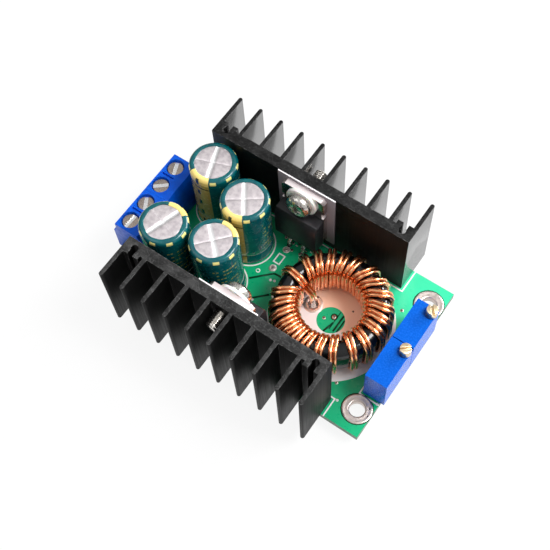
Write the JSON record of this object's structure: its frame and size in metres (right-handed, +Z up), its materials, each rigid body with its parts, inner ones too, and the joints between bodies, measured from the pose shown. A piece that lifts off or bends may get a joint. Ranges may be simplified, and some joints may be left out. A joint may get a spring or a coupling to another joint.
{
  "type": "buck converter module",
  "caption": "Step-down converter board with finned heatsinks on both sides, capacitors, a wound ring inductor, trimmers and screw terminals.",
  "frame": {"origin": "middle of the underside of the whole module's box, where the lead ends stand on a table", "axes": "+X along the board from the wire terminals to the trimmers, +Y across it towards the regulator's heatsink, +Z up out of the parts side"},
  "size_m": [0.0661, 0.0478, 0.0236],
  "materials": {
    "board_laminate": "green solder mask over glass laminate",
    "board_ink": "printed white ink",
    "tinned_copper": "dull tin",
    "solder": "solder, semi-gloss",
    "terminal_plastic": "moulded nylon, satin",
    "plated_steel": "zinc plated",
    "can_aluminium": "bare drawn aluminium",
    "capacitor_sleeve": "shrunk film sleeve, gloss",
    "seal_rubber": "matt rubber",
    "tinned_lead": "tinned wire",
    "core_coating": "gloss black epoxy over pressed iron powder",
    "enamelled_copper": "enamelled copper wire, gloss",
    "black_anodised": "black anodised extrusion with sawn ends",
    "package_moulding": "moulded epoxy",
    "plated_tab": "tin plated copper",
    "thermal_pad": "silicone sheet",
    "bush_nylon": "moulded nylon",
    "trimmer_plastic": "moulded, satin",
    "adjuster_brass": "turned brass",
    "chip_ceramic": "fired ceramic"
  },
  "bodies": {
    "module": {"circuit_board": "board_laminate", "silkscreen": "board_ink", "mount_hole_rings": "tinned_copper", "solder_pads": "tinned_copper", "solder_joints": "solder", "terminal_housing_input": "terminal_plastic", "terminal_housing_output": "terminal_plastic", "terminal_contacts": "tinned_copper", "capacitor_can_1": "can_aluminium", "capacitor_can_2": "can_aluminium", "capacitor_can_3": "can_aluminium", "capacitor_can_4": "can_aluminium", "capacitor_sleeve_1": "capacitor_sleeve", "capacitor_sleeve_2": "capacitor_sleeve", "capacitor_sleeve_3": "capacitor_sleeve", "capacitor_sleeve_4": "capacitor_sleeve", "capacitor_seal_1": "seal_rubber", "capacitor_seal_2": "seal_rubber", "capacitor_seal_3": "seal_rubber", "capacitor_seal_4": "seal_rubber", "capacitor_leads": "tinned_lead", "inductor_core": "core_coating", "inductor_winding": "enamelled_copper", "heatsink_near": "black_anodised", "heatsink_far": "black_anodised", "heatsink_pins": "tinned_lead", "diode_body": "package_moulding", "diode_tab": "plated_tab", "diode_leads": "tinned_lead", "regulator_body": "package_moulding", "regulator_tab": "plated_tab", "regulator_leads": "tinned_lead", "thermal_pad_near": "thermal_pad", "thermal_pad_far": "thermal_pad", "insulating_bush_near": "bush_nylon", "insulating_bush_far": "bush_nylon", "tab_screw_near": "plated_steel", "tab_screw_far": "plated_steel", "trimmer_body_1": "trimmer_plastic", "trimmer_body_2": "trimmer_plastic", "trimmer_pins": "tinned_lead", "shunt_resistors": "package_moulding", "amplifier_chip": "package_moulding", "voltage_reference": "package_moulding", "chip_resistors": "package_moulding", "chip_capacitors": "chip_ceramic"},
    "terminal_screw_1": {"terminal_screw_1": "plated_steel"},
    "terminal_screw_2": {"terminal_screw_2": "plated_steel"},
    "terminal_screw_3": {"terminal_screw_3": "plated_steel"},
    "terminal_screw_4": {"terminal_screw_4": "plated_steel"},
    "terminal_cage_1": {"terminal_cage_1": "plated_steel"},
    "terminal_cage_2": {"terminal_cage_2": "plated_steel"},
    "terminal_cage_3": {"terminal_cage_3": "plated_steel"},
    "terminal_cage_4": {"terminal_cage_4": "plated_steel"},
    "trimmer_screw_1": {"trimmer_screw_1": "adjuster_brass"},
    "trimmer_screw_2": {"trimmer_screw_2": "adjuster_brass"}
  },
  "joints": [
    {"name": "terminal_screw_1_turn", "type": "hinge", "parent": "module", "child": "terminal_screw_1", "pos_m": [-0.02997, -0.0079, 0.0117], "axis": [0, 0, -1], "range_deg": [0, 1440]},
    {"name": "terminal_cage_1_rise", "type": "slide", "parent": "module", "child": "terminal_cage_1", "axis": [0, 0, 1], "range_m": [0, 0.002]},
    {"name": "terminal_screw_2_turn", "type": "hinge", "parent": "module", "child": "terminal_screw_2", "pos_m": [-0.02997, -0.00282, 0.0117], "axis": [0, 0, -1], "range_deg": [0, 1440]},
    {"name": "terminal_cage_2_rise", "type": "slide", "parent": "module", "child": "terminal_cage_2", "axis": [0, 0, 1], "range_m": [0, 0.002]},
    {"name": "terminal_screw_3_turn", "type": "hinge", "parent": "module", "child": "terminal_screw_3", "pos_m": [-0.02997, 0.00226, 0.0117], "axis": [0, 0, -1], "range_deg": [0, 1440]},
    {"name": "terminal_cage_3_rise", "type": "slide", "parent": "module", "child": "terminal_cage_3", "axis": [0, 0, 1], "range_m": [0, 0.002]},
    {"name": "terminal_screw_4_turn", "type": "hinge", "parent": "module", "child": "terminal_screw_4", "pos_m": [-0.02997, 0.00734, 0.0117], "axis": [0, 0, -1], "range_deg": [0, 1440]},
    {"name": "terminal_cage_4_rise", "type": "slide", "parent": "module", "child": "terminal_cage_4", "axis": [0, 0, 1], "range_m": [0, 0.002]},
    {"name": "trimmer_screw_1_turn", "type": "hinge", "parent": "module", "child": "trimmer_screw_1", "pos_m": [0.03192, -0.00118, 0.01363], "axis": [0, 0, 1], "continuous": true},
    {"name": "trimmer_screw_2_turn", "type": "hinge", "parent": "module", "child": "trimmer_screw_2", "pos_m": [0.03192, 0.00851, 0.01363], "axis": [0, 0, 1], "continuous": true}
  ],
  "couplings": [
    {"joint": "terminal_screw_1_turn", "follows": "terminal_cage_1_rise", "rad_per_m": 12566},
    {"joint": "terminal_screw_2_turn", "follows": "terminal_cage_2_rise", "rad_per_m": 12566},
    {"joint": "terminal_screw_3_turn", "follows": "terminal_cage_3_rise", "rad_per_m": 12566},
    {"joint": "terminal_screw_4_turn", "follows": "terminal_cage_4_rise", "rad_per_m": 12566}
  ]
}
